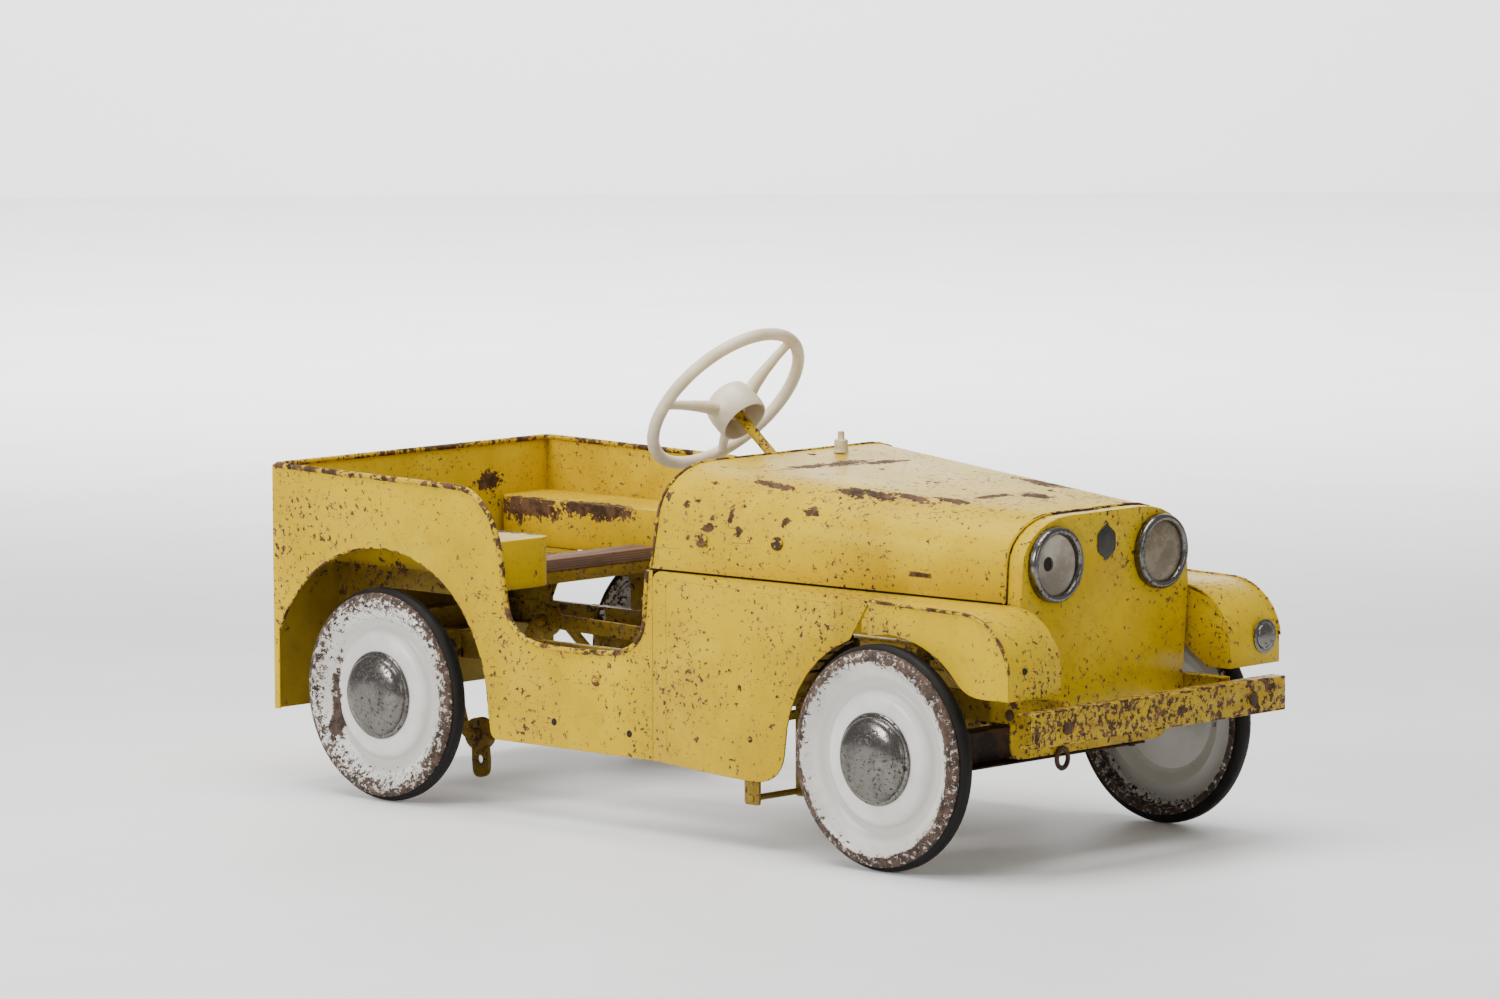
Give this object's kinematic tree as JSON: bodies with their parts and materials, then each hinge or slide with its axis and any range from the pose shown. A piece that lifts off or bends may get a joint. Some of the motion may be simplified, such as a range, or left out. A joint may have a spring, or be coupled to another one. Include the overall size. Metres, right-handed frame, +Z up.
{
  "type": "pedal car",
  "caption": "Child's pressed-steel pedal car with open tub, cut-away sides, short bonnet, round lamps, channel bumper, disc wheels, crank and rod pedal drive and steering.",
  "frame": {"origin": "bottom centre of the bounding box, on the floor midway along the car", "axes": "+X forwards, +Y to the car's left, +Z up"},
  "size_m": [0.9462, 0.4278, 0.4473],
  "materials": {
    "body_enamel": "worn yellow enamel, chipped and rusted at the edges",
    "frame_enamel": "yellow enamel with heavy rust and dirt",
    "rusty_steel": "bare steel, dark and rusted",
    "wheel_enamel": "white enamel, rust specks towards the rim",
    "tyre": "thin hard tyre, dull",
    "hub_chrome": "pitted, dulled plating",
    "lamp_chrome": "tarnished plating",
    "lamp_glass": "clouded",
    "cream_plastic": "aged cream moulding",
    "plywood": "worn plywood with the plies showing at the edge",
    "black_enamel": "black enamel",
    "pedal_rubber": "moulded rubber blocks"
  },
  "bodies": {
    "chassis": {"tub_side_left": "body_enamel", "tub_side_right": "body_enamel", "tub_back": "body_enamel", "wheel_box_left": "body_enamel", "wheel_box_right": "body_enamel", "bonnet": "body_enamel", "nose_panel": "body_enamel", "front_panel_left": "body_enamel", "front_panel_right": "body_enamel", "wing_left": "body_enamel", "wing_right": "body_enamel", "front_cross_plate": "body_enamel", "bumper": "body_enamel", "seat_pan": "frame_enamel", "dashboard": "frame_enamel", "chassis_rail_left": "frame_enamel", "chassis_rail_right": "frame_enamel", "rear_cross_member": "frame_enamel", "axle_hanger_left": "frame_enamel", "axle_hanger_right": "frame_enamel", "pedal_hanger_left": "frame_enamel", "pedal_hanger_right": "frame_enamel", "bumper_bolt_left": "rusty_steel", "bumper_bolt_right": "rusty_steel", "tow_loop": "rusty_steel", "front_axle_beam": "rusty_steel", "column_bracket": "rusty_steel", "headlamp_bezel_left": "lamp_chrome", "headlamp_bezel_right": "lamp_chrome", "headlamp_dish_right": "lamp_chrome", "side_lamp_left": "lamp_chrome", "headlamp_lens_left": "lamp_glass", "seat_board": "plywood", "bonnet_post": "cream_plastic", "nose_badge": "black_enamel"},
    "crank": {"crank_axle": "rusty_steel", "wheel_disc_rear_right": "wheel_enamel", "tyre_rear_right": "tyre", "hub_cap_rear_right": "hub_chrome"},
    "rear_left_wheel": {"wheel_disc_rear_left": "wheel_enamel", "tyre_rear_left": "tyre", "hub_cap_rear_left": "hub_chrome"},
    "right_rod": {"connecting_rod_right": "rusty_steel"},
    "left_rod": {"connecting_rod_left": "rusty_steel"},
    "right_pedal": {"pedal_arm_right": "rusty_steel", "pedal_tread_right": "pedal_rubber"},
    "left_pedal": {"pedal_arm_left": "rusty_steel", "pedal_tread_left": "pedal_rubber"},
    "steering": {"steering_wheel": "cream_plastic", "steering_column": "frame_enamel"},
    "track_rod": {"track_rod": "rusty_steel"},
    "right_stub": {"stub_axle_right": "rusty_steel"},
    "left_stub": {"stub_axle_left": "rusty_steel"},
    "front_right_wheel": {"wheel_disc_front_right": "wheel_enamel", "tyre_front_right": "tyre", "hub_cap_front_right": "hub_chrome"},
    "front_left_wheel": {"wheel_disc_front_left": "wheel_enamel", "tyre_front_left": "tyre", "hub_cap_front_left": "hub_chrome"}
  },
  "joints": [
    {"name": "crank_spin", "type": "hinge", "parent": "chassis", "child": "crank", "pos_m": [-0.3131, 0, 0.1], "axis": [0, 1, 0], "continuous": true},
    {"name": "rear_left_wheel_spin", "type": "hinge", "parent": "crank", "child": "rear_left_wheel", "pos_m": [-0.3131, 0.189, 0.1], "axis": [0, 1, 0], "continuous": true},
    {"name": "right_rod_pin", "type": "hinge", "parent": "crank", "child": "right_rod", "pos_m": [-0.3131, -0.068, 0.05], "axis": [0, 1, 0], "continuous": true},
    {"name": "left_rod_pin", "type": "hinge", "parent": "crank", "child": "left_rod", "pos_m": [-0.3131, 0.022, 0.15], "axis": [0, 1, 0], "continuous": true},
    {"name": "right_pedal_pivot", "type": "hinge", "parent": "chassis", "child": "right_pedal", "pos_m": [0.1479, -0.042, 0.047], "axis": [0, 1, 0], "range_deg": [-30, 30]},
    {"name": "left_pedal_pivot", "type": "hinge", "parent": "chassis", "child": "left_pedal", "pos_m": [0.1479, 0.042, 0.047], "axis": [0, 1, 0], "range_deg": [-30, 30]},
    {"name": "steering_turn", "type": "hinge", "parent": "chassis", "child": "steering", "pos_m": [-0.0547, 0, 0.379], "axis": [-0.7716, 0, 0.636], "range_deg": [-28, 28]},
    {"name": "right_kingpin", "type": "hinge", "parent": "chassis", "child": "right_stub", "pos_m": [0.3129, -0.1455, 0.1], "axis": [0, 0, 1], "range_deg": [-17, 17]},
    {"name": "left_kingpin", "type": "hinge", "parent": "chassis", "child": "left_stub", "pos_m": [0.3129, 0.1455, 0.1], "axis": [0, 0, 1], "range_deg": [-17, 17]},
    {"name": "track_rod_slide", "type": "slide", "parent": "chassis", "child": "track_rod", "axis": [0, 1, 0], "range_m": [-0.0131, 0.0131]},
    {"name": "front_right_wheel_spin", "type": "hinge", "parent": "right_stub", "child": "front_right_wheel", "pos_m": [0.3129, -0.189, 0.1], "axis": [0, 1, 0], "continuous": true},
    {"name": "front_left_wheel_spin", "type": "hinge", "parent": "left_stub", "child": "front_left_wheel", "pos_m": [0.3129, 0.189, 0.1], "axis": [0, 1, 0], "continuous": true}
  ],
  "couplings": [
    {"joint": "right_rod_pin", "follows": "crank_spin", "ratio": -1},
    {"joint": "left_rod_pin", "follows": "crank_spin", "ratio": -1},
    {"joint": "left_pedal_pivot", "follows": "right_pedal_pivot", "ratio": -1},
    {"joint": "right_kingpin", "follows": "steering_turn", "ratio": 0.598},
    {"joint": "left_kingpin", "follows": "steering_turn", "ratio": 0.598},
    {"joint": "track_rod_slide", "follows": "steering_turn", "m_per_rad": -0.0265}
  ]
}
